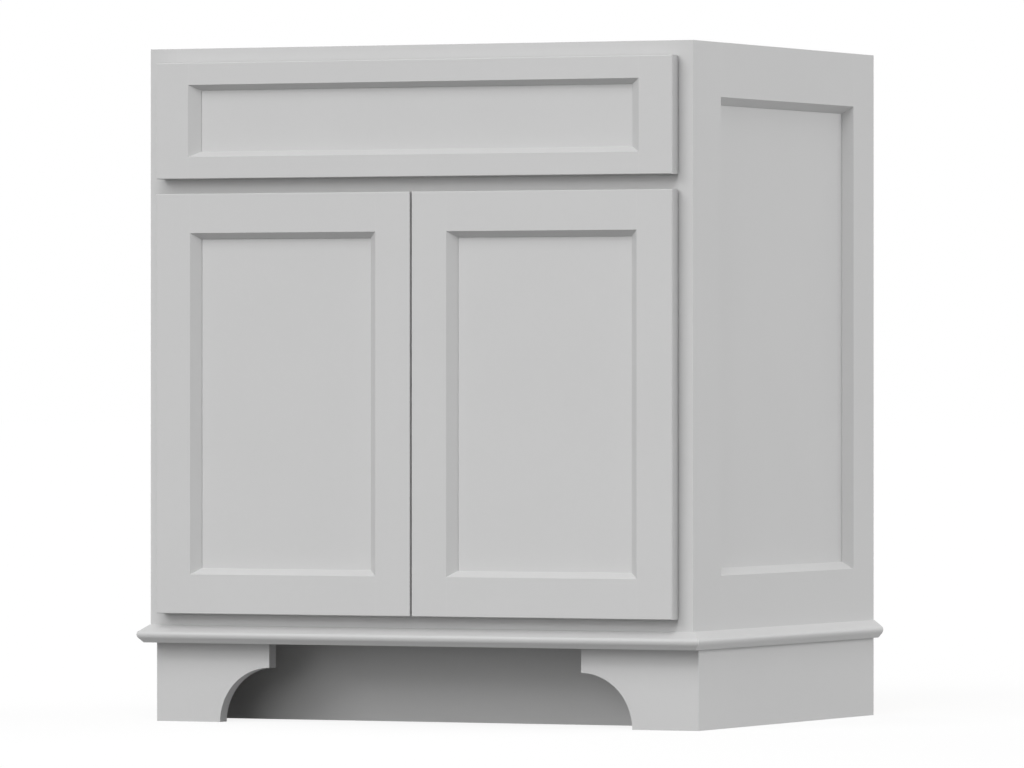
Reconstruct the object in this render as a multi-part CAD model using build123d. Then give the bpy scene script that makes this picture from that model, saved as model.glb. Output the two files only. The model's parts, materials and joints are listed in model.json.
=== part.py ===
from build123d import *
import math
import os

# Overall case, in millimetres; the front faces -Y
CASE_W = 762.0
CASE_D = 584.2
CASE_H = 863.6
BASE_H = 101.6

# Face frame
FRAME_T = 19.05
FRAME_STILE_W = 38.1
FRAME_RAIL_H = 38.1
FRAME_BOTTOM_RAIL_H = 50.8
TENON_T = 9.5
TENON_L = 22.0
TENON_SHOULDER = 6.0
MORTISE_FIT = 0.1
MORTISE_DEPTH_SPARE = 0.5

# Doors and fixed front, set over the face frame
DOOR_T = 18.0
DOOR_GAP = 3.2
DOOR_SEAM = 2.5
REVEAL_SIDE = 19.05
REVEAL_TOP = 19.05
FRONT_SPACING = 19.05
BOTTOM_OVERLAY = 12.7
FALSE_H = 148.3
DOOR_STILE_W = 59.8
DOOR_RAIL_W = 58.1
DOOR_STILE_STICK_W = 11.3
DOOR_RAIL_STICK_W = 7.8
FALSE_STILE_W = 59.0
FALSE_RAIL_W = 34.9
FALSE_STILE_STICK_W = 13.4
FALSE_RAIL_STICK_W = 6.9
EDGE_R = 1.0

# Panels in every panelled frame, and the bevelled edges round them
PANEL_T = 4.0
PANEL_FIT = 0.1
PANEL_FLOAT = 1.5
GROOVE_D = 9.5
BACK_LIP_T = 2.0
BEVEL_STEP = 1.2

# Panelled ends
END_T = 19.05
END_STILE_W = 77.1
END_TOP_RAIL_W = 78.2
END_BOTTOM_RAIL_W = 100.5
END_STICK_W = 9.4

# Boards inside the case
FLOOR_T = 18.0
BACK_T = 6.35
DADO_D = 6.35
DADO_FIT = 0.1
DADO_SPARE = 0.5
HANG_T = 19.05
HANG_H = 88.9
STUD_SPACING = 406.4
WALL_HOLE_R = 2.5
PIPE_W = 320.0
PIPE_H = 220.0
PIPE_Z = 500.0
BRACE_LEG = 76.2
BRACE_T = 12.7
BRACE_HOLE_INSET = 24.0
BRACE_HOLE_R = 2.5

# Fixing of the fixed front
CLEAT_X = 235.0
CLEAT_W = 60.0
CLEAT_T = 12.7
CLEAT_TOP_LAP = 20.0
FALSE_SCREW_BITE = 12.0
BUMPER_R = 4.0
BUMPER_INSET = 24.0

# Base
BASE_T = 19.05
FOOT_SETBACK = 17.5
FOOT_TOP_W = 161.5
FOOT_ARC_R = 70.5
TOE_SETBACK = 133.4
BLOCK_W = 34.0
BLOCK_LIFT = 6.0
MOULD_P = 13.7
MOULD_H = 23.0

# Concealed hinges
CUP_R = 17.5
CUP_WALL = 0.8
CUP_DEPTH = 13.8
CUP_EDGE = 3.5
BORE_FIT = 0.2
FLANGE_T = 1.2
FLANGE_W = 24.0
FLANGE_L = 58.0
FLANGE_CORNER_R = 5.0
CUP_SCREW_SPACING = 45.0
CUP_SCREW_OFFSET = 9.5
HINGE_INSET = 89.0
PIN_R = 1.2
SLOT_PIN_R = 1.0
PIN_FIT = 0.05
SLOT_FIT = 0.4
LINK_R = 2.2
EYE_R = 2.6
INNER_LINK_HALF = 3.0
OUTER_LINK_Z = (3.5, 5.2)
CHEEK_Z = (5.5, 7.0)
CHEEK_R = 2.4
STUB_START = 3.3
PLATE_T = 2.5
PLATE_L = 40.0
PLATE_MARGIN = 1.5
PLATE_SCREW_SPACING = 28.0
PLATE_CORNER_R = 4.0
RIM_NOTCH_D = 1.5
RIM_NOTCH_L = 13.0

# Hinge pivots in plan: A and C are on the arm, B and D on the cup
A_FROM_STILE = 14.298
A_BEHIND_FACE = 0.859
C_FROM_STILE = 13.165
C_BEFORE_FACE = 11.476
B_FROM_EDGE = 11.214
B_UNDER_BACK = 2.678
D_FROM_EDGE = 10.626
D_UNDER_BACK = 8.158
SLOT_OUT = 1.93
SLOT_DOWN = 1.2
ROOT_FROM_STILE = 3.32
ROOT_BEHIND_FACE = 7.0

# Screws
SCREW_R = 1.75
SCREW_HEAD_R = 3.5
SCREW_HEAD_H = 1.4
SCREW_FIT = 0.05
SCREW_HOLE_FIT = 0.2
CUP_SCREW_L = 12.0
PLATE_SCREW_L = 18.0

# Reference planes worked out from the sizes above
HALF_W = CASE_W / 2
DOOR_PROUD = DOOR_GAP + DOOR_T
Y_FRAME = (DOOR_PROUD - CASE_D) / 2
Y_DOOR = Y_FRAME - DOOR_PROUD
Y_DOOR_BACK = Y_FRAME - DOOR_GAP
Y_INSIDE = Y_FRAME + FRAME_T
Y_BACK = Y_FRAME + CASE_D
Y_HANG = Y_BACK - HANG_T
Y_BACK_PANEL = Y_HANG - BACK_T
Y_FEET = Y_FRAME + FOOT_SETBACK
INSIDE_X = HALF_W - END_T
STILE_X = HALF_W - FRAME_STILE_W
DOOR_EDGE = HALF_W - REVEAL_SIDE
OVERLAY = FRAME_STILE_W - REVEAL_SIDE
Z_FLOOR = BASE_H + FRAME_BOTTOM_RAIL_H
Z_FLOOR_UNDER = Z_FLOOR - FLOOR_T
DOOR_Z0 = Z_FLOOR - BOTTOM_OVERLAY
FALSE_Z1 = CASE_H - REVEAL_TOP
FALSE_Z0 = FALSE_Z1 - FALSE_H
DOOR_Z1 = FALSE_Z0 - FRONT_SPACING
MIDDLE_Z0 = (FALSE_Z0 + DOOR_Z1 - FRAME_RAIL_H) / 2
MIDDLE_Z1 = MIDDLE_Z0 + FRAME_RAIL_H
TOP_RAIL_Z0 = CASE_H - FRAME_RAIL_H
GROOVE_W = PANEL_T + PANEL_FIT

# Pivot places: x from the door's outer edge inwards, y from the face frame's front into the case
PIVOT_A = (OVERLAY + A_FROM_STILE, A_BEHIND_FACE)
PIVOT_C = (OVERLAY + C_FROM_STILE, -C_BEFORE_FACE)
PIVOT_B = (B_FROM_EDGE, -DOOR_GAP - B_UNDER_BACK)
PIVOT_D = (D_FROM_EDGE, -DOOR_GAP - D_UNDER_BACK)
SLOT_END = (PIVOT_D[0] - SLOT_OUT, PIVOT_D[1] - SLOT_DOWN)
ARM_ROOT = (OVERLAY + ROOT_FROM_STILE, ROOT_BEHIND_FACE)
CUP_X = CUP_EDGE + CUP_R


def block(x0, x1, y0, y1, z0, z1):
    """A box between two opposite corners."""
    corner = (Align.MIN, Align.MIN, Align.MIN)
    return Pos(x0, y0, z0) * Box(x1 - x0, y1 - y0, z1 - z0, align=corner)


def rod(start, direction, radius, length):
    """A round bar from a point along a direction."""
    base = (Align.CENTER, Align.CENTER, Align.MIN)
    return Plane(origin=start, z_dir=direction) * Cylinder(radius, length, align=base)


def bar(p, q, radius, z0, z1):
    """A flat link with round ends between two plan points, from z0 to z1."""
    run = math.dist(p, q)
    turn = math.degrees(math.atan2(q[1] - p[1], q[0] - p[0]))
    outline = SlotCenterToCenter(run, 2 * radius)
    middle = Pos((p[0] + q[0]) / 2, (p[1] + q[1]) / 2, z0)
    return middle * Rot(0, 0, turn) * extrude(outline, z1 - z0)


def across(shape):
    """The same shape on the other side of the middle."""
    return mirror(shape, about=Plane.YZ)


def screw(start, direction, length):
    """A wood screw: a round head standing on the start point, with a cross recess, and a plain shank."""
    reach = Vector(*direction)
    top = Vector(*start) - reach * SCREW_HEAD_H
    head = rod(top, reach, SCREW_HEAD_R, SCREW_HEAD_H)
    recess = Box(SCREW_HEAD_R * 1.1, SCREW_HEAD_R * 0.3, SCREW_HEAD_H)
    seat = Plane(origin=top, z_dir=reach)
    cross = seat * (recess + Rot(0, 0, 90) * recess)
    shank = rod(start, reach, SCREW_R, length)
    return head + shank - cross


def pilot(start, direction, length):
    """The hole that a screw bites into."""
    return rod(start, direction, SCREW_R + SCREW_FIT, length + SCREW_FIT)


def panel_recess(thickness):
    """How far a panel's face lies behind the face of its frame."""
    return thickness - BACK_LIP_T - GROOVE_W


def stick_outline(width, thickness, stick):
    """Section of panelled frame stock: distance out from its inner edge, then depth from its face."""
    recess = panel_recess(thickness)
    back = recess + GROOVE_W
    return [
        (width, 0.0),
        (stick, 0.0),
        (0.0, recess - BEVEL_STEP),
        (0.0, recess),
        (GROOVE_D, recess),
        (GROOVE_D, back),
        (0.0, back),
        (0.0, thickness),
        (width, thickness),
    ]


def stile(edge, outward, width, thickness, stick, height):
    """An upright of a panelled frame, with its inner edge at x = edge and its body towards outward."""
    points = [(edge + outward * out, depth) for out, depth in stick_outline(width, thickness, stick)]
    return extrude(make_face(Polyline(*points, close=True)), height, dir=(0, 0, 1))


def rail(edge, outward, width, thickness, stick, x0, x1):
    """A cross piece of a panelled frame, with its inner edge at z = edge."""
    points = [(depth, edge + outward * out) for out, depth in stick_outline(width, thickness, stick)]
    face = Plane.YZ * make_face(Polyline(*points, close=True))
    return Pos(x0, 0, 0) * extrude(face, x1 - x0, dir=(1, 0, 0))


def panelled(width, height, thickness, stile_w, top_w, bottom_w, sticks, ease):
    """Five pieces of a frame and panel: face at y = 0, corner at the origin, rails coped over the stiles."""
    stile_stick, rail_stick = sticks
    right_edge = width - stile_w
    left = stile(stile_w, -1, stile_w, thickness, stile_stick, height)
    right = stile(right_edge, 1, stile_w, thickness, stile_stick, height)
    x0 = stile_w - stile_stick
    x1 = right_edge + stile_stick
    top = rail(height - top_w, 1, top_w, thickness, rail_stick, x0, x1) - left - right
    bottom = rail(bottom_w, -1, bottom_w, thickness, rail_stick, x0, x1) - left - right
    spread = GROOVE_D - PANEL_FLOAT
    recess = panel_recess(thickness)
    panel = block(
        stile_w - spread,
        right_edge + spread,
        recess,
        recess + PANEL_T,
        bottom_w - spread,
        height - top_w + spread,
    )
    pieces = {"left": left, "right": right, "top": top, "bottom": bottom, "panel": panel}
    if ease:
        outline = block(0, width, 0, thickness, 0, height)
        rounded = fillet(outline.faces().sort_by(Axis.Y)[0].edges(), EDGE_R)
        for name in ("left", "right", "top", "bottom"):
            pieces[name] = pieces[name] & rounded
    return pieces


def face_frame():
    """Two stiles mortised for three tenoned rails."""
    levels = {
        "top_rail": (TOP_RAIL_Z0, CASE_H),
        "middle_rail": (MIDDLE_Z0, MIDDLE_Z1),
        "bottom_rail": (BASE_H, Z_FLOOR),
    }
    tenon_y = Y_FRAME + (FRAME_T - TENON_T) / 2
    right_stile = block(STILE_X, HALF_W, Y_FRAME, Y_INSIDE, BASE_H, CASE_H)
    nodes = {}
    for name, (z0, z1) in levels.items():
        low = z0 + TENON_SHOULDER
        high = z1 - TENON_SHOULDER
        reach = STILE_X + TENON_L
        body = block(-STILE_X, STILE_X, Y_FRAME, Y_INSIDE, z0, z1)
        nodes[f"face_frame_{name}"] = body + block(-reach, reach, tenon_y, tenon_y + TENON_T, low, high)
        right_stile -= block(
            STILE_X,
            reach + MORTISE_DEPTH_SPARE,
            tenon_y - MORTISE_FIT,
            tenon_y + TENON_T + MORTISE_FIT,
            low - MORTISE_FIT,
            high + MORTISE_FIT,
        )
    nodes["face_frame_right_stile"] = right_stile
    nodes["face_frame_left_stile"] = across(right_stile)
    return nodes


def ends():
    """Panelled ends, grooved inside for the floor and the back panel."""
    pieces = panelled(
        CASE_D - FRAME_T,
        CASE_H - BASE_H,
        END_T,
        END_STILE_W,
        END_TOP_RAIL_W,
        END_BOTTOM_RAIL_W,
        (END_STICK_W, END_STICK_W),
        False,
    )
    place = Pos(HALF_W, Y_INSIDE, BASE_H) * Rot(0, 0, 90)
    slot_x = INSIDE_X + DADO_D
    floor_slot = block(INSIDE_X, slot_x, Y_INSIDE, Y_BACK_PANEL, Z_FLOOR_UNDER, Z_FLOOR + DADO_FIT)
    back_slot = block(INSIDE_X, slot_x, Y_BACK_PANEL - DADO_FIT, Y_HANG, BASE_H, CASE_H)
    names = {
        "left": "front_stile",
        "right": "rear_stile",
        "top": "top_rail",
        "bottom": "bottom_rail",
        "panel": "panel",
    }
    nodes = {}
    for key, name in names.items():
        piece = place * pieces[key]
        if key in ("left", "right", "bottom"):
            piece = piece - floor_slot
        if key == "right":
            piece = piece - back_slot
        nodes[f"right_end_{name}"] = piece
        nodes[f"left_end_{name}"] = across(piece)
    return nodes


def wall_holes():
    """Holes for the wall screws, through the hanging rails and the back panel."""
    low = (Z_FLOOR + BASE_H + HANG_H) / 2
    high = CASE_H - HANG_H / 2
    points = [(sx * STUD_SPACING / 2, z) for sx in (-1, 1) for z in (low, high)]
    run = Y_BACK - Y_BACK_PANEL
    return [rod((x, Y_BACK_PANEL, z), (0, 1, 0), WALL_HOLE_R, run) for x, z in points]


def inside_boards():
    """Floor, back panel, hanging rails and top corner braces."""
    reach = INSIDE_X + DADO_D - DADO_SPARE
    floor = block(-reach, reach, Y_INSIDE, Y_BACK_PANEL, Z_FLOOR_UNDER, Z_FLOOR)
    back = block(-reach, reach, Y_BACK_PANEL, Y_HANG, BASE_H, CASE_H)
    back -= block(-PIPE_W / 2, PIPE_W / 2, Y_BACK_PANEL, Y_HANG, PIPE_Z - PIPE_H / 2, PIPE_Z + PIPE_H / 2)
    upper = block(-INSIDE_X, INSIDE_X, Y_HANG, Y_BACK, CASE_H - HANG_H, CASE_H)
    lower = block(-INSIDE_X, INSIDE_X, Y_HANG, Y_BACK, BASE_H, BASE_H + HANG_H)
    for hole in wall_holes():
        back -= hole
        upper -= hole
        lower -= hole
    braces = []
    for corner_y, inward in ((Y_INSIDE, 1), (Y_BACK_PANEL, -1)):
        corner = (INSIDE_X, corner_y)
        along = (INSIDE_X, corner_y + inward * BRACE_LEG)
        toward = (INSIDE_X - BRACE_LEG, corner_y)
        plate = extrude(make_face(Polyline(corner, along, toward, close=True)), BRACE_T, dir=(0, 0, 1))
        hole_at = (INSIDE_X - BRACE_HOLE_INSET, corner_y + inward * BRACE_HOLE_INSET, 0)
        brace = Pos(0, 0, CASE_H - BRACE_T) * (plate - rod(hole_at, (0, 0, 1), BRACE_HOLE_R, BRACE_T))
        braces += [brace, across(brace)]
    return {
        "cabinet_floor": floor,
        "back_panel": back,
        "upper_hanging_rail": upper,
        "lower_hanging_rail": lower,
        "corner_braces": braces,
    }


def false_front():
    """The fixed front, its cleats behind the face frame, its screws and its bumpers."""
    sticks = (FALSE_STILE_STICK_W, FALSE_RAIL_STICK_W)
    pieces = panelled(2 * DOOR_EDGE, FALSE_H, DOOR_T, FALSE_STILE_W, FALSE_RAIL_W, FALSE_RAIL_W, sticks, True)
    place = Pos(-DOOR_EDGE, Y_DOOR, FALSE_Z0)
    nodes = {
        "false_front_left_stile": place * pieces["left"],
        "false_front_right_stile": place * pieces["right"],
        "false_front_top_rail": place * pieces["top"],
        "false_front_bottom_rail": place * pieces["bottom"],
        "false_front_panel": place * pieces["panel"],
    }
    cleat_z1 = TOP_RAIL_Z0 + CLEAT_TOP_LAP
    cleat = block(-CLEAT_W / 2, CLEAT_W / 2, Y_INSIDE, Y_INSIDE + CLEAT_T, MIDDLE_Z0, cleat_z1)
    run = Y_INSIDE + CLEAT_T - Y_DOOR_BACK + FALSE_SCREW_BITE
    solid = FALSE_RAIL_W - GROOVE_D
    heights = {
        "false_front_bottom_rail": (MIDDLE_Z1 + FALSE_Z0 + solid) / 2,
        "false_front_top_rail": (TOP_RAIL_Z0 + FALSE_Z1 - solid) / 2,
    }
    cleats = [Pos(sx * CLEAT_X, 0, 0) * cleat for sx in (-1, 1)]
    screws = []
    for name, z in heights.items():
        for index, sx in enumerate((-1, 1)):
            start = (sx * CLEAT_X, Y_INSIDE + CLEAT_T, z)
            screws.append(screw(start, (0, -1, 0), run))
            nodes[name] = nodes[name] - pilot(start, (0, -1, 0), run)
            cleats[index] = cleats[index] - pilot(start, (0, -1, 0), run)
    bumper_z = ((FALSE_Z0 + MIDDLE_Z1) / 2, (FALSE_Z1 + TOP_RAIL_Z0) / 2)
    bumper_x = DOOR_EDGE - OVERLAY - BUMPER_INSET
    nodes["false_front_cleats"] = cleats
    nodes["false_front_screws"] = screws
    nodes["false_front_bumpers"] = [bumper(sx * bumper_x, z) for sx in (-1, 1) for z in bumper_z]
    return nodes


def bumper(x, z):
    """A soft round pad that fills the space between a front and the face frame."""
    return rod((x, Y_DOOR_BACK, z), (0, 1, 0), BUMPER_R, DOOR_GAP)


def hinge():
    """One concealed hinge on the left door, centred on z = 0, in the plan frame of the pivots."""
    cup_back = -DOOR_GAP
    flange_top = cup_back + FLANGE_T
    inner_r = CUP_R - CUP_WALL
    up = (0, 1, 0)
    cup = rod((CUP_X, cup_back - CUP_DEPTH, 0), up, CUP_R, CUP_DEPTH)
    flange = block(
        CUP_X + CUP_SCREW_OFFSET - FLANGE_W / 2,
        CUP_X + CUP_SCREW_OFFSET + FLANGE_W / 2,
        cup_back,
        flange_top,
        -FLANGE_L / 2,
        FLANGE_L / 2,
    )
    cup += fillet(flange.edges().filter_by(Axis.Y), FLANGE_CORNER_R)
    cup -= rod((CUP_X, cup_back - CUP_DEPTH + CUP_WALL, 0), up, inner_r, CUP_DEPTH + FLANGE_T)
    cup -= block(
        CUP_EDGE, PIVOT_B[0], cup_back - RIM_NOTCH_D, cup_back, -RIM_NOTCH_L / 2, RIM_NOTCH_L / 2
    )
    screw_x = CUP_X + CUP_SCREW_OFFSET
    cup_screws = []
    cup_pilots = []
    for sz in (-1, 1):
        start = (screw_x, flange_top, sz * CUP_SCREW_SPACING / 2)
        cup -= rod(start, (0, -1, 0), SCREW_R + SCREW_HOLE_FIT, FLANGE_T)
        cup_screws.append(screw(start, (0, -1, 0), CUP_SCREW_L))
        cup_pilots.append(pilot(start, (0, -1, 0), CUP_SCREW_L))
    wall_b = math.sqrt(CUP_R**2 - (CUP_X - PIVOT_B[0] + PIN_R) ** 2)
    wall_d = math.sqrt(CUP_R**2 - (CUP_X - PIVOT_D[0] + SLOT_PIN_R) ** 2)
    for sz in (-1, 1):
        cup += rod((*PIVOT_B, sz * STUB_START), (0, 0, sz), PIN_R, wall_b - STUB_START)
    cup += rod((*PIVOT_D, -wall_d), (0, 0, 1), SLOT_PIN_R, 2 * wall_d)

    plate_y = (PLATE_MARGIN, FRAME_T - PLATE_MARGIN)
    plate = block(OVERLAY, OVERLAY + PLATE_T, *plate_y, -PLATE_L / 2, PLATE_L / 2)
    arm = fillet(plate.edges().filter_by(Axis.X), PLATE_CORNER_R)
    for sz in (-1, 1):
        z0, z1 = sorted((sz * CHEEK_Z[0], sz * CHEEK_Z[1]))
        web = make_face(Polyline(PIVOT_A, PIVOT_C, ARM_ROOT, close=True))
        arm += Pos(0, 0, z0) * extrude(web, z1 - z0, dir=(0, 0, 1))
        for p, q in ((PIVOT_A, PIVOT_C), (PIVOT_C, ARM_ROOT), (PIVOT_A, ARM_ROOT)):
            arm += bar(p, q, CHEEK_R, z0, z1)
    for pivot in (PIVOT_A, PIVOT_C):
        arm += rod((*pivot, -CHEEK_Z[1]), (0, 0, 1), PIN_R, 2 * CHEEK_Z[1])
    arm_screws = []
    arm_pilots = []
    for sz in (-1, 1):
        start = (OVERLAY + PLATE_T, FRAME_T / 2, sz * PLATE_SCREW_SPACING / 2)
        arm -= rod(start, (-1, 0, 0), SCREW_R + SCREW_HOLE_FIT, PLATE_T)
        arm_screws.append(screw(start, (-1, 0, 0), PLATE_SCREW_L))
        arm_pilots.append(pilot(start, (-1, 0, 0), PLATE_SCREW_L))

    outer_links = []
    for sz in (-1, 1):
        z0, z1 = sorted((sz * OUTER_LINK_Z[0], sz * OUTER_LINK_Z[1]))
        link = bar(PIVOT_A, PIVOT_B, LINK_R, z0, z1)
        for pivot in (PIVOT_A, PIVOT_B):
            link -= rod((*pivot, z0), (0, 0, 1), PIN_R + PIN_FIT, z1 - z0)
        outer_links.append(link)
    z0, z1 = -INNER_LINK_HALF, INNER_LINK_HALF
    inner_link = bar(PIVOT_C, PIVOT_D, LINK_R, z0, z1) + bar(PIVOT_D, SLOT_END, EYE_R, z0, z1)
    inner_link -= rod((*PIVOT_C, z0), (0, 0, 1), PIN_R + PIN_FIT, z1 - z0)
    inner_link -= bar(PIVOT_D, SLOT_END, SLOT_PIN_R + SLOT_FIT, z0, z1)
    bore = rod((CUP_X, cup_back - CUP_DEPTH - BORE_FIT, 0), up, CUP_R + BORE_FIT, CUP_DEPTH + BORE_FIT)
    return {
        "cups": [cup],
        "cup_screws": cup_screws,
        "outer_links": outer_links,
        "inner_links": [inner_link],
        "arms": [arm],
        "arm_screws": arm_screws,
        "door_cuts": [bore, *cup_pilots],
        "frame_cuts": arm_pilots,
    }


def doors(frame):
    """Both doors with their hinges and bumpers; the face frame's stiles get the screw holes."""
    width = DOOR_EDGE - DOOR_SEAM / 2
    height = DOOR_Z1 - DOOR_Z0
    sticks = (DOOR_STILE_STICK_W, DOOR_RAIL_STICK_W)
    pieces = panelled(width, height, DOOR_T, DOOR_STILE_W, DOOR_RAIL_W, DOOR_RAIL_W, sticks, True)
    place = Pos(-DOOR_EDGE, Y_DOOR, DOOR_Z0)
    names = {
        "left": "hinge_stile",
        "right": "meeting_stile",
        "top": "top_rail",
        "bottom": "bottom_rail",
        "panel": "panel",
    }
    left = {name: place * pieces[key] for key, name in names.items()}
    sets = {}
    for z in (DOOR_Z0 + HINGE_INSET, DOOR_Z1 - HINGE_INSET):
        for key, shapes in hinge().items():
            sets.setdefault(key, []).extend(Pos(-DOOR_EDGE, Y_FRAME, z) * shape for shape in shapes)
    for cut in sets["door_cuts"]:
        left["hinge_stile"] = left["hinge_stile"] - cut
    for cut in sets["frame_cuts"]:
        frame["face_frame_left_stile"] = frame["face_frame_left_stile"] - cut
    frame["face_frame_right_stile"] = across(frame["face_frame_left_stile"])
    nodes = {}
    for name, piece in left.items():
        nodes[f"left_door_{name}"] = piece
        nodes[f"right_door_{name}"] = across(piece)
    titles = {
        "cups": "hinge_cups",
        "cup_screws": "cup_screws",
        "outer_links": "outer_links",
        "inner_links": "inner_links",
    }
    for key, title in titles.items():
        nodes[f"left_{title}"] = sets[key]
        nodes[f"right_{title}"] = [across(shape) for shape in sets[key]]
    nodes["hinge_arms"] = sets["arms"] + [across(shape) for shape in sets["arms"]]
    nodes["hinge_arm_screws"] = sets["arm_screws"] + [across(shape) for shape in sets["arm_screws"]]
    bumper_x = DOOR_SEAM / 2 + BUMPER_INSET
    bumper_z = ((DOOR_Z0 + Z_FLOOR) / 2, (DOOR_Z1 + MIDDLE_Z0) / 2)
    nodes["left_door_bumpers"] = [bumper(-bumper_x, z) for z in bumper_z]
    nodes["right_door_bumpers"] = [bumper(bumper_x, z) for z in bumper_z]
    return nodes


def base():
    """Side boards mitred to the bracket feet, toe board, rear board and corner blocks."""
    inner = HALF_W - BASE_T
    plan = [(HALF_W, Y_FEET), (HALF_W, Y_BACK), (inner, Y_BACK), (inner, Y_FEET + BASE_T)]
    side = extrude(make_face(Polyline(*plan, close=True)), BASE_H, dir=(0, 0, 1))
    step_x = HALF_W - FOOT_TOP_W
    slant = FOOT_ARC_R * math.sqrt(0.5)
    outline = [
        Line((step_x + FOOT_ARC_R, 0), (HALF_W, 0)),
        Line((HALF_W, 0), (HALF_W, BASE_H)),
        Line((HALF_W, BASE_H), (step_x, BASE_H)),
        Line((step_x, BASE_H), (step_x, FOOT_ARC_R)),
        ThreePointArc((step_x, FOOT_ARC_R), (step_x + slant, slant), (step_x + FOOT_ARC_R, 0)),
    ]
    face = Plane.XZ * make_face(Curve() + outline)
    foot = Pos(0, Y_FEET, 0) * extrude(face, BASE_T, dir=(0, 1, 0)) - side
    block_x = min(inner, INSIDE_X)
    front_y = Y_FEET + BASE_T
    rear_y = min(Y_BACK_PANEL, Y_BACK - BASE_T)
    blocks = []
    for y0, y1 in ((front_y, front_y + BLOCK_W), (rear_y - BLOCK_W, rear_y)):
        corner = block(block_x - BLOCK_W, block_x, y0, y1, BLOCK_LIFT, Z_FLOOR_UNDER)
        blocks += [corner, across(corner)]
    toe_y = Y_FRAME + TOE_SETBACK
    return {
        "right_base_side": side,
        "left_base_side": across(side),
        "right_bracket_foot": foot,
        "left_bracket_foot": across(foot),
        "toe_board": block(-inner, inner, toe_y, toe_y + BASE_T, 0, BASE_H),
        "base_rear_board": block(-inner, inner, Y_BACK - BASE_T, Y_BACK, 0, BASE_H),
        "base_corner_blocks": blocks,
    }


def mould_face(sign):
    """Section of the base moulding: bevelled bottom, round nose, straight top slope, back at zero."""
    def at(out, up):
        return (sign * out * MOULD_P, up * MOULD_H)
    lines = [
        Line(at(0, 0), at(0.5, 0)),
        Line(at(0.5, 0), at(0.82, 0.22)),
        TangentArc(at(1, 0.46), at(0.82, 0.22), tangent=(0, -1)),
        TangentArc(at(1, 0.46), at(0.915, 0.615), tangent=(0, 1)),
        Line(at(0.915, 0.615), at(0.06, 1)),
        Line(at(0.06, 1), at(0, 1)),
        Line(at(0, 1), at(0, 0)),
    ]
    return make_face(Curve() + lines)


def mouldings():
    """Three lengths of base moulding, mitred at the front corners."""
    reach = HALF_W + MOULD_P
    front_y = Y_FRAME - MOULD_P
    front_face = Plane.YZ * mould_face(-1)
    front = Pos(-reach, Y_FRAME, BASE_H) * extrude(front_face, 2 * reach, dir=(1, 0, 0))
    side_face = Plane.XZ * mould_face(1)
    right = Pos(HALF_W, front_y, BASE_H) * extrude(side_face, Y_BACK - front_y, dir=(0, 1, 0))
    corner_plan = [(HALF_W, Y_FRAME), (reach, front_y), (HALF_W, front_y)]
    corner = extrude(make_face(Polyline(*corner_plan, close=True)), MOULD_H, dir=(0, 0, 1))
    corner = Pos(0, 0, BASE_H) * corner
    end_plan = [(HALF_W, Y_FRAME), (reach, front_y), (reach, Y_FRAME)]
    end = extrude(make_face(Polyline(*end_plan, close=True)), MOULD_H, dir=(0, 0, 1))
    end = Pos(0, 0, BASE_H) * end
    right = right - corner
    return {
        "front_moulding": front - end - across(end),
        "right_moulding": right,
        "left_moulding": across(right),
    }


def save(nodes):
    """Write every node to its own STEP file; a node of several like pieces keeps them separate."""
    os.makedirs("parts", exist_ok=True)
    for name, shape in nodes.items():
        body = Compound(children=shape) if isinstance(shape, list) else shape
        export_step(body, f"parts/{name}.step")


def main():
    frame = face_frame()
    nodes = doors(frame)
    for group in (frame, ends(), inside_boards(), false_front(), base(), mouldings()):
        nodes.update(group)
    save(nodes)


if __name__ == "__main__":
    main()
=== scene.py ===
"""Looks of a painted two-door vanity unit: finishes, small hardware, studio and camera on its frame."""

import json
import logging
import math
from dataclasses import dataclass
from enum import Enum
from typing import Any, Optional, Sequence

import bmesh
import bpy
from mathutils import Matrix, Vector

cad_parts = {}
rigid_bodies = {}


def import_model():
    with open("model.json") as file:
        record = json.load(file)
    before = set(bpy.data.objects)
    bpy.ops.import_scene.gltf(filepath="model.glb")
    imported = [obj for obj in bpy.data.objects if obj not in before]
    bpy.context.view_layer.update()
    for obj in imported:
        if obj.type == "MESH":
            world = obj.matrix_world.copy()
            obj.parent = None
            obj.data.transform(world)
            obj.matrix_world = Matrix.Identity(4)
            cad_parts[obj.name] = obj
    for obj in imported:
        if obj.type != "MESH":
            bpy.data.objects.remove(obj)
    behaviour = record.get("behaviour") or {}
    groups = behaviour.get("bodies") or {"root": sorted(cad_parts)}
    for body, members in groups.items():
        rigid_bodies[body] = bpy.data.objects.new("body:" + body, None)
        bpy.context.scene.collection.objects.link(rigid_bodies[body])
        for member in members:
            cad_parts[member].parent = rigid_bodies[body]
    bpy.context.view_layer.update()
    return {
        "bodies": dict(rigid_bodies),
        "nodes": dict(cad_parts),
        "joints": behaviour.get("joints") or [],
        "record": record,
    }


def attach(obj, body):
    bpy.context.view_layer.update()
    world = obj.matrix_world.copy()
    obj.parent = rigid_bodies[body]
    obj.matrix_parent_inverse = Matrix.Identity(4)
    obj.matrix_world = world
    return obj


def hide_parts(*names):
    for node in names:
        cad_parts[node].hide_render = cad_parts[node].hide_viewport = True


LOG = logging.getLogger("vanity_unit")
MM = 0.001
MERGE_REACH = 1e-6
OUT_OF_REACH = 10.0
FLAT_MATCH = 0.8
SHARP_ANGLE = math.radians(35)

Colour = tuple[float, float, float]
Corners = tuple[Vector, Vector]


class Grain(Enum):
    """Which way a board's grain runs, as the turn that lays it along X."""

    CROSSWISE = (0.0, 0.0, 0.0)
    UPRIGHT = (0.0, math.pi / 2, 0.0)
    DEPTHWISE = (0.0, 0.0, -math.pi / 2)


class Face(Enum):
    """A side of a board, as the direction that it faces."""

    LEFT = (-1.0, 0.0, 0.0)
    RIGHT = (1.0, 0.0, 0.0)
    BACK = (0.0, 1.0, 0.0)
    TOP = (0.0, 0.0, 1.0)


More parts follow.
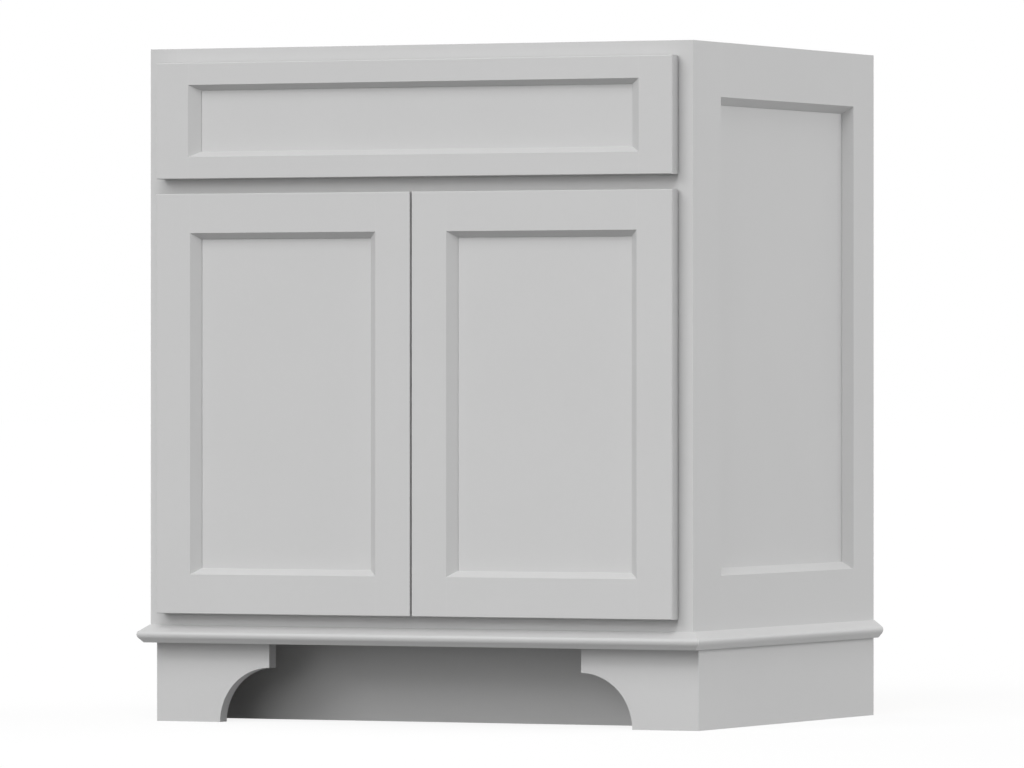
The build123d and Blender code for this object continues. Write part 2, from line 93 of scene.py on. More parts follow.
class Side(Enum):
    """One side of the unit, with the face of its boards that looks into the case."""

    LEFT = Face.RIGHT
    RIGHT = Face.LEFT

    @property
    def word(self) -> str:
        """The side's name in node and body names."""
        return self.name.lower()


@dataclass(frozen=True)
class Socket:
    """A named socket of a node group."""

    name: str
    kind: str = "NodeSocketFloat"


class Wiring:
    """Adds nodes to one node tree and joins them."""

    def __init__(self, tree: bpy.types.NodeTree) -> None:
        """Start from an empty tree.

        Args:
            tree: The node tree to fill.
        """
        self.tree = tree
        tree.nodes.clear()

    def add(self, kind: str, inputs: Optional[dict[Any, Any]] = None, **settings: Any) -> bpy.types.Node:
        """Add a node.

        Args:
            kind: Blender's name for the type of node.
            inputs: Values or output sockets for the node's inputs, by name or index.
            settings: The node's own properties.

        Returns:
            The new node.
        """
        node = self.tree.nodes.new(kind)
        for key, value in settings.items():
            setattr(node, key, value)
        for key, value in (inputs or {}).items():
            self.feed(node.inputs[key], value)
        return node

    def feed(self, socket: bpy.types.NodeSocket, value: Any) -> None:
        """Link an input to an output socket, or set its value.

        Args:
            socket: The input.
            value: An output socket, several of them for a join, or a plain value.
        """
        if isinstance(value, bpy.types.NodeSocket):
            self.tree.links.new(value, socket)
        elif isinstance(value, list):
            for source in value:
                self.tree.links.new(source, socket)
        else:
            socket.default_value = value

    def maths(
        self, operation: str, first: Any, second: Any = 0.0, clamp: bool = False
    ) -> bpy.types.NodeSocket:
        """Work out a number from one or two others.

        Args:
            operation: Blender's name for the operation.
            first: The first value or socket.
            second: The second value or socket.
            clamp: Whether the result is kept from 0 to 1.

        Returns:
            The result's socket.
        """
        node = self.add("ShaderNodeMath", {0: first, 1: second}, operation=operation, use_clamp=clamp)
        return node.outputs[0]

    def vector(self, operation: str, first: Any, second: Any = (0.0, 0.0, 0.0)) -> bpy.types.Node:
        """Add a vector operation.

        Args:
            operation: Blender's name for the operation.
            first: The first vector or socket.
            second: The second vector or socket.

        Returns:
            The node, whose outputs are a vector and a value.
        """
        return self.add("ShaderNodeVectorMath", {0: first, 1: second}, operation=operation)

    def combine(self, x: Any, y: Any, z: Any) -> bpy.types.NodeSocket:
        """Join three numbers or sockets into a vector socket."""
        return self.add("ShaderNodeCombineXYZ", {0: x, 1: y, 2: z}).outputs[0]

    def tint(self, share: Any, first: Any, second: Any, mode: str = "MIX") -> bpy.types.NodeSocket:
        """Mix two colours.

        Args:
            share: How much of the second colour shows.
            first: The first colour or socket.
            second: The second colour or socket.
            mode: Blender's name for the way of mixing.

        Returns:
            The mixed colour's socket.
        """
        inputs = {0: share, 6: first, 7: second}
        return self.add("ShaderNodeMix", inputs, data_type="RGBA", blend_type=mode).outputs[2]

    def lerp(self, share: Any, first: Any, second: Any) -> bpy.types.NodeSocket:
        """Mix two numbers by a share of the second."""
        return self.add("ShaderNodeMix", {0: share, 2: first, 3: second}, data_type="FLOAT").outputs[0]


class Group(Wiring):
    """A node group with named inputs and outputs."""

    def __init__(self, name: str, kind: str, inputs: Sequence[Socket], outputs: Sequence[Socket]) -> None:
        """Make the group with its sockets.

        Args:
            name: The group's name.
            kind: Blender's name for the type of tree.
            inputs: The group's inputs.
            outputs: The group's outputs.
        """
        super().__init__(bpy.data.node_groups.new(name, kind))
        for direction, sockets in (("INPUT", inputs), ("OUTPUT", outputs)):
            for socket in sockets:
                self.tree.interface.new_socket(name=socket.name, in_out=direction, socket_type=socket.kind)
        self.inlet = self.add("NodeGroupInput").outputs
        self.outlet = self.add("NodeGroupOutput").inputs


class Effects:
    """Shader node groups that several finishes share, each made once."""

    FIGURE_SCALE = 0.05
    EDGE_GAIN = 4.0

    def __init__(self) -> None:
        """Make every group."""
        self.mottle = self._mottle()
        self.grain = self._grain()
        self.film = self._film()
        self.edge = self._edge()

    @staticmethod
    def _shader_group(name: str, inputs: Sequence[str], outputs: Sequence[str]) -> Group:
        """Make a shader group whose first input is a place.

        Args:
            name: The group's name.
            inputs: Names of its number inputs.
            outputs: Names of its number outputs.

        Returns:
            The group, with its insides still to be made.
        """
        sockets = [Socket("Vector", "NodeSocketVector")] + [Socket(one) for one in inputs]
        return Group(name, "ShaderNodeTree", sockets, [Socket(one) for one in outputs])

    def _mottle(self) -> bpy.types.NodeTree:
        """A soft unevenness of tone: a factor about 1 that wanders over the surface.

        Returns:
            The group's tree.
        """
        group = self._shader_group("uneven_tone", ("Size", "Amount"), ("Factor",))
        scale = group.maths("DIVIDE", 1.0, group.inlet["Size"])
        noise = group.add(
            "ShaderNodeTexNoise",
            {"Vector": group.inlet["Vector"], "Scale": scale, "Detail": 3.0, "Roughness": 0.55},
        )
        swing = group.maths("MULTIPLY", group.maths("SUBTRACT", noise.outputs[0], 0.5), 2.0)
        change = group.maths("MULTIPLY", swing, group.inlet["Amount"])
        group.feed(group.outlet["Factor"], group.maths("ADD", change, 1.0))
        return group.tree

    def _grain(self) -> bpy.types.NodeTree:
        """Wood grain along X: fine streaks, and the wide figure of a sliced board.

        Returns:
            The group's tree.
        """
        group = self._shader_group("wood_grain", ("Pitch", "Length", "Rings"), ("Streaks", "Figure"))
        along = group.maths("DIVIDE", 1.0, group.inlet["Length"])
        around = group.maths("DIVIDE", 1.0, group.inlet["Pitch"])
        stretch = group.combine(along, around, around)
        drawn = group.vector("MULTIPLY", group.inlet["Vector"], stretch).outputs[0]
        fine = {"Vector": drawn, "Scale": 1.0, "Detail": 4.0, "Roughness": 0.6}
        group.feed(group.outlet["Streaks"], group.add("ShaderNodeTexNoise", fine).outputs[0])
        broad = {"Vector": drawn, "Scale": self.FIGURE_SCALE, "Detail": 1.5, "Roughness": 0.4}
        swell = group.add("ShaderNodeTexNoise", {**broad, "Distortion": 0.3}).outputs[0]
        rings = group.maths("MULTIPLY", swell, group.inlet["Rings"])
        group.feed(group.outlet["Figure"], group.maths("PINGPONG", rings, 1.0))
        return group.tree

    def _film(self) -> bpy.types.NodeTree:
        """The fine orange-peel relief of a sprayed or plated coat.

        Returns:
            The group's tree.
        """
        group = self._shader_group("coat_relief", ("Size",), ("Height",))
        scale = group.maths("DIVIDE", 1.0, group.inlet["Size"])
        peel = {"Vector": group.inlet["Vector"], "Scale": scale, "Detail": 2.0, "Roughness": 0.45}
        group.feed(group.outlet["Height"], group.add("ShaderNodeTexNoise", peel).outputs[0])
        return group.tree

    def _edge(self) -> bpy.types.NodeTree:
        """A mask of the edges, where a coat runs thin and is rubbed smooth; the paint also uses it to lighten
        its colour there, partly as a painted highlight.

        Returns:
            The group's tree.
        """
        group = self._shader_group("thin_edge", ("Radius", "Break Size"), ("Mask",))
        round_normal = group.add("ShaderNodeBevel", {"Radius": group.inlet["Radius"]}, samples=4).outputs[0]
        flat_normal = group.add("ShaderNodeNewGeometry").outputs["Normal"]
        match = group.vector("DOT_PRODUCT", round_normal, flat_normal).outputs["Value"]
        turn = group.maths("MULTIPLY", group.maths("SUBTRACT", 1.0, match), self.EDGE_GAIN, clamp=True)
        scale = group.maths("DIVIDE", 1.0, group.inlet["Break Size"])
        patchy = group.add("ShaderNodeTexNoise", {"Vector": group.inlet["Vector"], "Scale": scale}).outputs[0]
        group.feed(group.outlet["Mask"], group.maths("MULTIPLY", turn, patchy))
        return group.tree


class Surface(Wiring):
    """A material's node tree: a place on the piece, one shader and its output."""

    def __init__(self, name: str, grain: Grain = Grain.CROSSWISE) -> None:
        """Make the material.

        Args:
            name: The material's name.
            grain: Which way the pattern runs.
        """
        self.material = bpy.data.materials.new(name)
        self.material.use_nodes = True
        super().__init__(self.material.node_tree)
        self.coordinates = self.add("ShaderNodeTexCoord").outputs
        turned = {"Vector": self.coordinates["Object"], "Rotation": grain.value}
        self.place = self.add("ShaderNodeMapping", turned).outputs[0]
        self.shader = self.add("ShaderNodeBsdfPrincipled")
        self.add("ShaderNodeOutputMaterial", {"Surface": self.shader.outputs[0]})

    def effect(self, tree: bpy.types.NodeTree, **values: Any) -> bpy.types.bpy_prop_collection:
        """Place a shared effect on this surface.

        Args:
            tree: The shared group.
            values: Its inputs, with underscores for spaces.

        Returns:
            The placed group's outputs.
        """
        inputs = {key.replace("_", " "): value for key, value in values.items()}
        return self.add("ShaderNodeGroup", {"Vector": self.place, **inputs}, node_tree=tree).outputs

    def facing(self, face: Face) -> bpy.types.NodeSocket:
        """A mask of the faces that look towards a direction.

        Args:
            face: The direction.

        Returns:
            A socket that is 1 on those faces and 0 elsewhere.
        """
        toward = self.vector("DOT_PRODUCT", self.coordinates["Normal"], face.value).outputs["Value"]
        return self.maths("GREATER_THAN", toward, FLAT_MATCH)

    def beyond(self, face: Face, reach: float) -> bpy.types.NodeSocket:
        """A mask of what lies further along a direction than a distance.

        Args:
            face: The direction.
            reach: The distance from the frame's origin, in metres.

        Returns:
            A socket that is 1 there and 0 elsewhere.
        """
        along = self.vector("DOT_PRODUCT", self.coordinates["Object"], face.value).outputs["Value"]
        return self.maths("GREATER_THAN", along, reach)

    def relief(self, height: Any, depth: float) -> None:
        """Raise the surface by a height socket, up to a depth in metres."""
        bump = self.add("ShaderNodeBump", {"Height": height, "Distance": depth, "Strength": 1.0})
        self.feed(self.shader.inputs["Normal"], bump.outputs[0])

    def set(self, **values: Any) -> None:
        """Set or link the shader's inputs, with underscores for spaces."""
        for key, value in values.items():
            self.feed(self.shader.inputs[key.replace("_", " ")], value)


def rgba(colour: Colour) -> tuple[float, float, float, float]:
    """A colour with full cover."""
    return (*colour, 1.0)


@dataclass(frozen=True)
class BareWood:
    """Clear-coated birch, as face veneer, ply edges or solid stock."""

    pale: Colour = (0.640, 0.480, 0.310)
    deep: Colour = (0.520, 0.355, 0.205)
    pore: Colour = (0.330, 0.205, 0.110)
    ply_dark: Colour = (0.400, 0.255, 0.140)
    pitch: float = 1.6 * MM
    length: float = 90 * MM
    rings: float = 26.0
    figure_share: float = 0.7
    pore_level: float = 0.52
    pore_contrast: float = 2.6
    pore_share: float = 0.55
    cloud: float = 0.12
    cloud_amount: float = 0.10
    ply: float = 1.4 * MM
    ply_shares: tuple[float, float] = (0.25, 0.85)
    saw_mark: float = 3 * MM
    saw_mark_amount: float = 0.35
    roughness: float = 0.48
    streak_roughness: float = 0.16
    relief: float = 0.02 * MM
    coat: float = 0.15
    coat_roughness: float = 0.22

    def veneer(self, surface: Surface, effects: Effects) -> tuple[bpy.types.NodeSocket, bpy.types.NodeSocket]:
        """Lay the veneer's pattern on a surface.

        Args:
            surface: The surface to add to.
            effects: The shared groups.

        Returns:
            Sockets of its colour and of its streaks.
        """
        lines = surface.effect(effects.grain, Pitch=self.pitch, Length=self.length, Rings=self.rings)
        figure = surface.maths("MULTIPLY", lines["Figure"], self.figure_share)
        wood = surface.tint(figure, rgba(self.pale), rgba(self.deep))
        above = surface.maths("SUBTRACT", lines["Streaks"], self.pore_level)
        pores = surface.maths("MULTIPLY", above, self.pore_contrast, clamp=True)
        wood = surface.tint(surface.maths("MULTIPLY", pores, self.pore_share), wood, rgba(self.pore))
        tone = surface.effect(effects.mottle, Size=self.cloud, Amount=self.cloud_amount)["Factor"]
        grey = surface.combine(tone, tone, tone)
        return surface.tint(1.0, wood, grey, "MULTIPLY"), lines["Streaks"]

    def finish(self, surface: Surface, colour: Any, streaks: Any) -> None:
        """Join the pattern to the shader with a clear coat.

        Args:
            surface: The surface to finish.
            colour: The colour's socket.
            streaks: The socket of the streaks, which roughen and raise the surface.
        """
        uneven = surface.maths("MULTIPLY", streaks, self.streak_roughness)
        rough = surface.maths("ADD", uneven, self.roughness - self.streak_roughness / 2)
        surface.set(Base_Color=colour, Roughness=rough)
        surface.set(Coat_Weight=self.coat, Coat_Roughness=self.coat_roughness)
        surface.relief(streaks, self.relief)

    def make_board(self, effects: Effects, grain: Grain) -> bpy.types.Material:
        """Solid stock.

        Args:
            effects: The shared groups.
            grain: Which way the grain runs.

        Returns:
            The material.
        """
        surface = Surface(f"birch_board_{grain.name.lower()}", grain)
        self.finish(surface, *self.veneer(surface, effects))
        return surface.material

    def make_plywood(self, effects: Effects, grain: Grain, flat: Face) -> bpy.types.Material:
        """Plywood, with veneer on its two flats and plies on its edges.

        Args:
            effects: The shared groups.
            grain: Which way the face veneer runs.
            flat: The direction of its thickness.

        Returns:
            The material.
        """
        surface = Surface(f"birch_plywood_{flat.name.lower()}_{grain.name.lower()}", grain)
        colour, streaks = self.veneer(surface, effects)
        depth = surface.vector("DOT_PRODUCT", surface.coordinates["Object"], flat.value).outputs["Value"]
        layer = surface.maths("FLOOR", surface.maths("DIVIDE", depth, self.ply))
        turn = surface.maths("ABSOLUTE", surface.maths("MODULO", layer, 2.0))
        rough_cut = surface.effect(effects.mottle, Size=self.saw_mark, Amount=self.saw_mark_amount)["Factor"]
        dark = surface.maths("MULTIPLY", surface.lerp(turn, *self.ply_shares), rough_cut, clamp=True)
        edge = surface.tint(dark, rgba(self.pale), rgba(self.ply_dark))
        along = surface.vector("DOT_PRODUCT", surface.coordinates["Normal"], flat.value).outputs["Value"]
        on_flat = surface.maths("GREATER_THAN", surface.maths("ABSOLUTE", along), FLAT_MATCH)
        self.finish(surface, surface.tint(on_flat, edge, colour), streaks)
        return surface.material


@dataclass(frozen=True)
class Bare:
    """A side that is left as wood, with the edges that lie beyond a distance along its direction."""

    face: Face
    reach: float = OUT_OF_REACH

    @property
    def word(self) -> str:
        """The side's name in material names."""
        return self.face.name.lower()


@dataclass(frozen=True)
class SatinPaint:
    """Smooth light grey sprayed paint over wood, with a trace of grain, and edges lightened partly by a
    thinner coat and partly as a painted highlight.
    """

    tone: Colour = (0.556, 0.556, 0.556)
    # Lighter colour of the edges: partly a thinner coat, partly a painted highlight.
    thin: Colour = (0.640, 0.640, 0.636)
    cloud: float = 0.16
    cloud_amount: float = 0.022
    speck: float = 9 * MM
    speck_amount: float = 0.010
    roughness: float = 0.46
    sheen_swing: float = 4.0
    peel: float = 1.1 * MM
    peel_depth: float = 0.010 * MM
    streak_pitch: float = 0.9 * MM
    streak_length: float = 60 * MM
    streak_share: float = 0.5
    edge_radius: float = 0.9 * MM
    edge_break: float = 14 * MM
    edge_share: float = 0.5
    edge_gloss: float = 0.10
    coat: float = 0.06
    coat_roughness: float = 0.30

    def make(
        self, effects: Effects, grain: Grain, bare: Optional[Bare] = None, wood: BareWood = BareWood()
    ) -> bpy.types.Material:
        """Paint for a board.

        Args:
            effects: The shared groups.
            grain: Which way the board's grain runs.
            bare: A side that is left as clear-coated wood, if any.
            wood: The wood that shows there.

        Returns:
            The material.
        """
        inside = f"_bare_{bare.word}" if bare else ""
        surface = Surface(f"satin_paint_{grain.name.lower()}{inside}", grain)
        cloud = surface.effect(effects.mottle, Size=self.cloud, Amount=self.cloud_amount)["Factor"]
        speck = surface.effect(effects.mottle, Size=self.speck, Amount=self.speck_amount)["Factor"]
        shade = surface.maths("MULTIPLY", cloud, speck)
        colour = surface.tint(1.0, rgba(self.tone), surface.combine(shade, shade, shade), "MULTIPLY")
        # Edges are lightened in colour: partly a thinner coat, partly a painted highlight.
        edge = surface.effect(effects.edge, Radius=self.edge_radius, Break_Size=self.edge_break)["Mask"]
        colour = surface.tint(surface.maths("MULTIPLY", edge, self.edge_share), colour, rgba(self.thin))
        lines = surface.effect(effects.grain, Pitch=self.streak_pitch, Length=self.streak_length, Rings=1.0)
        sheen = surface.maths("MULTIPLY", surface.maths("SUBTRACT", speck, 1.0), self.sheen_swing)
        worn = surface.maths("MULTIPLY", edge, -self.edge_gloss)
        rough = surface.maths("ADD", surface.maths("ADD", sheen, worn), self.roughness)
        peel = surface.effect(effects.film, Size=self.peel)["Height"]
        height = surface.maths("ADD", peel, surface.maths("MULTIPLY", lines["Streaks"], self.streak_share))
        if bare:
            mask = surface.maths("MAXIMUM", surface.facing(bare.face), surface.beyond(bare.face, bare.reach))
            colour = surface.tint(mask, colour, wood.veneer(surface, effects)[0])
            rough = surface.lerp(mask, rough, wood.roughness)
        surface.set(Base_Color=colour, Roughness=rough)
        surface.set(Coat_Weight=self.coat, Coat_Roughness=self.coat_roughness)
        surface.relief(height, self.peel_depth)
        return surface.material


@dataclass(frozen=True)
class PlatedSteel:
    """Pressed or turned steel under a bright plate, with fine rub marks."""

    name: str
    tone: Colour
    dull: Colour
    roughness: float
    cloud: float = 12 * MM
    cloud_amount: float = 0.5
    haze_share: float = 0.9
    rub_pitch: float = 0.12 * MM
    rub_length: float = 7 * MM
    rub_roughness: float = 0.22
    rub_depth: float = 0.004 * MM
    edge_radius: float = 0.25 * MM
    edge_break: float = 2 * MM
    edge_gloss: float = 0.06

    def make(self, effects: Effects) -> bpy.types.Material:
        """Plated steel.

        Args:
            effects: The shared groups.

        Returns:
            The material.
        """
        surface = Surface(self.name)
        cloud = surface.effect(effects.mottle, Size=self.cloud, Amount=self.cloud_amount)["Factor"]
        lines = surface.effect(effects.grain, Pitch=self.rub_pitch, Length=self.rub_length, Rings=1.0)
        rubs = lines["Streaks"]
        haze = surface.maths("MULTIPLY", surface.maths("MULTIPLY", cloud, rubs), self.haze_share, clamp=True)
        edge = surface.effect(effects.edge, Radius=self.edge_radius, Break_Size=self.edge_break)["Mask"]
        uneven = surface.maths("MULTIPLY", rubs, self.rub_roughness)
        rough = surface.maths("ADD", uneven, self.roughness - self.rub_roughness / 2)
        rough = surface.maths("SUBTRACT", rough, surface.maths("MULTIPLY", edge, self.edge_gloss))
        colour = surface.tint(haze, rgba(self.tone), rgba(self.dull))
        surface.set(Base_Color=colour, Metallic=1.0, Roughness=rough)
        surface.relief(rubs, self.rub_depth)
        return surface.material


@dataclass(frozen=True)
class SoftPad:
    """Soft milky pad that a door closes on."""

    tone: Colour = (0.72, 0.72, 0.70)
    dusty: Colour = (0.58, 0.575, 0.55)
    dust: float = 2.5 * MM
    dust_amount: float = 0.6
    dust_share: float = 0.35
    roughness: float = 0.38
    milkiness: float = 0.35
    light_reach: Colour = (0.002, 0.002, 0.0018)
    texture: float = 0.5 * MM
    texture_depth: float = 0.01 * MM

    def make(self, effects: Effects) -> bpy.types.Material:
        """Milky rubber.

        Args:
            effects: The shared groups.

        Returns:
            The material.
        """
        surface = Surface("soft_pad")
        dust = surface.effect(effects.mottle, Size=self.dust, Amount=self.dust_amount)["Factor"]
        share = surface.maths("MULTIPLY", dust, self.dust_share, clamp=True)
        rough = surface.maths("MULTIPLY", dust, self.roughness)
        surface.set(Base_Color=surface.tint(share, rgba(self.tone), rgba(self.dusty)), Roughness=rough)
        surface.set(Subsurface_Weight=self.milkiness, Subsurface_Radius=self.light_reach)
        surface.relief(surface.effect(effects.film, Size=self.texture)["Height"], self.texture_depth)
        return surface.material


@dataclass(frozen=True)
class Seat:
    """A place for a small piece, and the way that its head looks."""

    point: Vector
    aim: Vector


class SeatTree(Group):
    """A Geometry Nodes tree that sets one small piece on every seat, turned to the seat's aim."""

    NAME = "set_on_seats"
    SIZES: tuple[str, ...] = ()
    TWIST_SEED = 7

    def __init__(self) -> None:
        """Make the tree with an input for each size."""
        sizes = [Socket(size) for size in self.SIZES]
        inputs = [Socket("Seats", "NodeSocketGeometry"), *sizes, Socket("Finish", "NodeSocketMaterial")]
        super().__init__(self.NAME, "GeometryNodeTree", inputs, [Socket("Pieces", "NodeSocketGeometry")])
        self.tree.is_modifier = True
        self._place(self.shape())

    def shape(self) -> bpy.types.NodeSocket:
        """Make one piece that stands on the origin with its head up +Z.

        Returns:
            The socket of its mesh.
        """
        raise NotImplementedError

    def _place(self, piece: bpy.types.NodeSocket) -> None:
        """Copy a piece to every seat with a turn of its own, and make the copies real.

        Args:
            piece: The socket of the piece's mesh.
        """
        aim = self.add("GeometryNodeInputNamedAttribute", {"Name": "aim"}, data_type="FLOAT_VECTOR")
        raised = {"Vector": aim.outputs[0]}
        upright = self.add("FunctionNodeAlignRotationToVector", raised, axis="Z").outputs[0]
        limits = {"Max": math.pi, "Seed": self.TWIST_SEED}
        angle = self.add("FunctionNodeRandomValue", limits, data_type="FLOAT")
        twist = {"Axis": (0, 0, 1), "Angle": angle.outputs["Value"]}
        spin = self.add("FunctionNodeAxisAngleToRotation", twist)
        turned = {"Rotation": upright, "Rotate By": spin.outputs[0]}
        rotation = self.add("FunctionNodeRotateRotation", turned, rotation_space="LOCAL").outputs[0]
        seats = {"Points": self.inlet["Seats"], "Instance": piece, "Rotation": rotation}
        copies = self.add("GeometryNodeInstanceOnPoints", seats).outputs[0]
        real = self.add("GeometryNodeRealizeInstances", {0: copies}).outputs[0]
        dressed = self.add("GeometryNodeSetMaterial", {"Geometry": real, "Material": self.inlet["Finish"]})
        self.feed(self.outlet["Pieces"], dressed.outputs[0])

    def moved(self, mesh: bpy.types.NodeSocket, z: Any) -> bpy.types.NodeSocket:
        """Lift a mesh by a height."""
        lift = {"Geometry": mesh, "Translation": self.combine(0.0, 0.0, z)}
        return self.add("GeometryNodeTransform", lift).outputs[0]

    def joined(self, *meshes: bpy.types.NodeSocket) -> bpy.types.NodeSocket:
        """Join several meshes into one."""
        return self.add("GeometryNodeJoinGeometry", {0: list(meshes)}).outputs[0]

    def crowned_disc(self, radius: Any, height: Any, crown: Any, sides: int) -> bpy.types.NodeSocket:
        """Make a disc that stands on the origin, with a crowned top.

        Args:
            radius: The disc's radius.
            height: Its height at the middle.
            crown: How much lower its rim is.
            sides: How many sides the rim has.

        Returns:
            The socket of its mesh.
        """
        sizes = {"Vertices": sides, "Fill Segments": 4, "Radius": radius, "Depth": height}
        disc = self.add("GeometryNodeMeshCylinder", sizes, fill_type="TRIANGLE_FAN").outputs
        place = self.add("GeometryNodeInputPosition").outputs[0]
        plan = self.vector("MULTIPLY", place, (1.0, 1.0, 0.0)).outputs[0]
        out = self.maths("DIVIDE", self.vector("LENGTH", plan).outputs["Value"], radius)
        drop = self.maths("MULTIPLY", self.maths("POWER", out, 2.0), self.maths("MULTIPLY", crown, -1.0))
        crowned = {"Geometry": disc["Mesh"], "Selection": disc["Top"], "Offset": self.combine(0.0, 0.0, drop)}
        domed = self.add("GeometryNodeSetPosition", crowned).outputs[0]
        return self.moved(domed, self.maths("MULTIPLY", height, 0.5))

    def run(
        self, name: str, seats: Sequence[Seat], sizes: dict[str, float], finish: bpy.types.Material
    ) -> bpy.types.Object:
        """Set the pieces on their seats and keep the result as a plain mesh.

        Args:
            name: The new piece's name.
            seats: Where each one goes.
            sizes: The tree's size inputs, in metres.
            finish: The material that they take.

        Returns:
            The new piece, at the origin.
        """
        mesh = bpy.data.meshes.new(f"{name}_seats")
        mesh.from_pydata([seat.point for seat in seats], [], [])
        aims = mesh.attributes.new("aim", "FLOAT_VECTOR", "POINT")
        for entry, seat in zip(aims.data, seats):
            entry.vector = seat.aim
        carrier = bpy.data.objects.new(f"{name}_carrier", mesh)
        bpy.context.scene.collection.objects.link(carrier)
        modifier = carrier.modifiers.new("seats", "NODES")
        modifier.node_group = self.tree
        values = {**sizes, "Finish": finish}
        for item in self.tree.interface.items_tree:
            if item.in_out == "INPUT" and item.name in values:
                modifier[item.identifier] = values[item.name]
        graph = bpy.context.evaluated_depsgraph_get()
        made = bpy.data.meshes.new_from_object(carrier.evaluated_get(graph))
        bpy.data.objects.remove(carrier)
        made.name = name
        made.shade_smooth()
        made.set_sharp_from_angle(angle=SHARP_ANGLE)
        piece = bpy.data.objects.new(name, made)
        bpy.context.scene.collection.objects.link(piece)
        return piece


class ScrewTree(SeatTree):
    """Pan-head wood screws with a cross recess, a thread and a point."""

    NAME = "screw_set"
    SIZES = ("Head Radius", "Head Height", "Shank Radius", "Shank Length")
    HEAD_SIDES = 28
    SHANK_SIDES = 16
    CROWN = 0.55
    SLOT_LENGTH = 1.1
    SLOT_WIDTH = 0.28
    SLOT_DEPTH = 1.2
    CORE = 0.76
    POINT_LENGTH = 2.2
    THREADED = 0.8
    THREAD_PITCH = 0.95
    THREAD_MIDDLE = 0.80
    THREAD_CREST = 0.19
    THREAD_STEPS = 14

    def shape(self) -> bpy.types.NodeSocket:
        """One screw, with the underside of its head on the origin.

        Returns:
            The socket of its mesh.
        """
        head_radius = self.inlet["Head Radius"]
        head_height = self.inlet["Head Height"]
        shank_radius = self.inlet["Shank Radius"]
        shank_length = self.inlet["Shank Length"]
        crown = self.maths("MULTIPLY", head_height, self.CROWN)
        head = self.crowned_disc(head_radius, head_height, crown, self.HEAD_SIDES)
        long = self.maths("MULTIPLY", head_radius, self.SLOT_LENGTH)
        slim = self.maths("MULTIPLY", head_radius, self.SLOT_WIDTH)
        deep = self.maths("MULTIPLY", head_height, self.SLOT_DEPTH)
        for slot in (self.combine(long, slim, deep), self.combine(slim, long, deep)):
            cutter = self.add("GeometryNodeMeshCube", {"Size": slot}).outputs[0]
            recess = {"Mesh 1": head, "Mesh 2": self.moved(cutter, head_height)}
            cut = self.add("GeometryNodeMeshBoolean", recess, operation="DIFFERENCE", solver="EXACT")
            head = cut.outputs[0]
        core = self.maths("MULTIPLY", shank_radius, self.CORE)
        point = self.maths("MULTIPLY", shank_radius, self.POINT_LENGTH)
        straight = self.maths("SUBTRACT", shank_length, point)
        stem_size = {"Vertices": self.SHANK_SIDES, "Radius": core, "Depth": straight}
        stem = self.add("GeometryNodeMeshCylinder", stem_size).outputs["Mesh"]
        stem = self.moved(stem, self.maths("MULTIPLY", straight, -0.5))
        tip_size = {"Vertices": self.SHANK_SIDES, "Radius Top": core, "Radius Bottom": 0.0, "Depth": point}
        tip = self.add("GeometryNodeMeshCone", tip_size).outputs["Mesh"]
        tip = self.moved(tip, self.maths("MULTIPLY", shank_length, -1.0))
        rise = self.maths("MULTIPLY", straight, self.THREADED)
        turns = self.maths("DIVIDE", rise, self.maths("MULTIPLY", shank_radius, self.THREAD_PITCH))
        middle = self.maths("MULTIPLY", shank_radius, self.THREAD_MIDDLE)
        helix = {"Resolution": self.THREAD_STEPS, "Rotations": turns, "Height": rise}
        radii = {"Start Radius": middle, "End Radius": middle}
        path = self.add("GeometryNodeCurveSpiral", {**helix, **radii}).outputs[0]
        crest = self.maths("MULTIPLY", shank_radius, self.THREAD_CREST)
        section = self.add("GeometryNodeCurvePrimitiveCircle", {"Resolution": 3, "Radius": crest}).outputs[0]
        ridge = {"Curve": path, "Profile Curve": section, "Fill Caps": True}
        thread = self.add("GeometryNodeCurveToMesh", ridge).outputs[0]
        thread = self.moved(thread, self.maths("MULTIPLY", straight, -1.0))
        return self.joined(head, stem, tip, thread)


class RivetTree(SeatTree):
    """Low round rivet heads."""

    NAME = "rivet_set"
    SIZES = ("Radius", "Height")
    SIDES = 20
    CROWN = 0.75

    def shape(self) -> bpy.types.NodeSocket:
        """One rivet head, standing on the origin."""
        crown = self.maths("MULTIPLY", self.inlet["Height"], self.CROWN)
        return self.crowned_disc(self.inlet["Radius"], self.inlet["Height"], crown, self.SIDES)


class PadTree(SeatTree):
    """Round pads with a soft rim."""

    NAME = "pad_set"
    SIZES = ("Radius", "Thickness", "Rim")
    SIDES = 32
    WALL_STEPS = 8
    TOP_STEPS = 3
    RIM_POWER = 4.0

    def shape(self) -> bpy.types.NodeSocket:
        """One pad, standing on the origin, with its wall rounded over towards the top.

        Returns:
            The socket of its mesh.
        """
        thickness = self.inlet["Thickness"]
        steps = {"Vertices": self.SIDES, "Side Segments": self.WALL_STEPS, "Fill Segments": self.TOP_STEPS}
        sizes = {"Radius": self.inlet["Radius"], "Depth": thickness}
        disc = self.add("GeometryNodeMeshCylinder", {**steps, **sizes}, fill_type="TRIANGLE_FAN")
        place = self.add("GeometryNodeInputPosition").outputs[0]
        height = self.add("ShaderNodeSeparateXYZ", {0: place}).outputs["Z"]
        level = self.maths("ADD", self.maths("DIVIDE", height, thickness), 0.5)
        inward = self.maths("MULTIPLY", self.maths("POWER", level, self.RIM_POWER), self.inlet["Rim"])
        share = self.maths("DIVIDE", inward, self.maths("MULTIPLY", self.inlet["Radius"], -1.0))
        shift = self.vector("MULTIPLY", place, self.combine(share, share, 0.0)).outputs[0]
        softened = {"Geometry": disc.outputs["Mesh"], "Offset": shift}
        rounded = self.add("GeometryNodeSetPosition", softened).outputs[0]
        return self.moved(rounded, self.maths("MULTIPLY", thickness, 0.5))


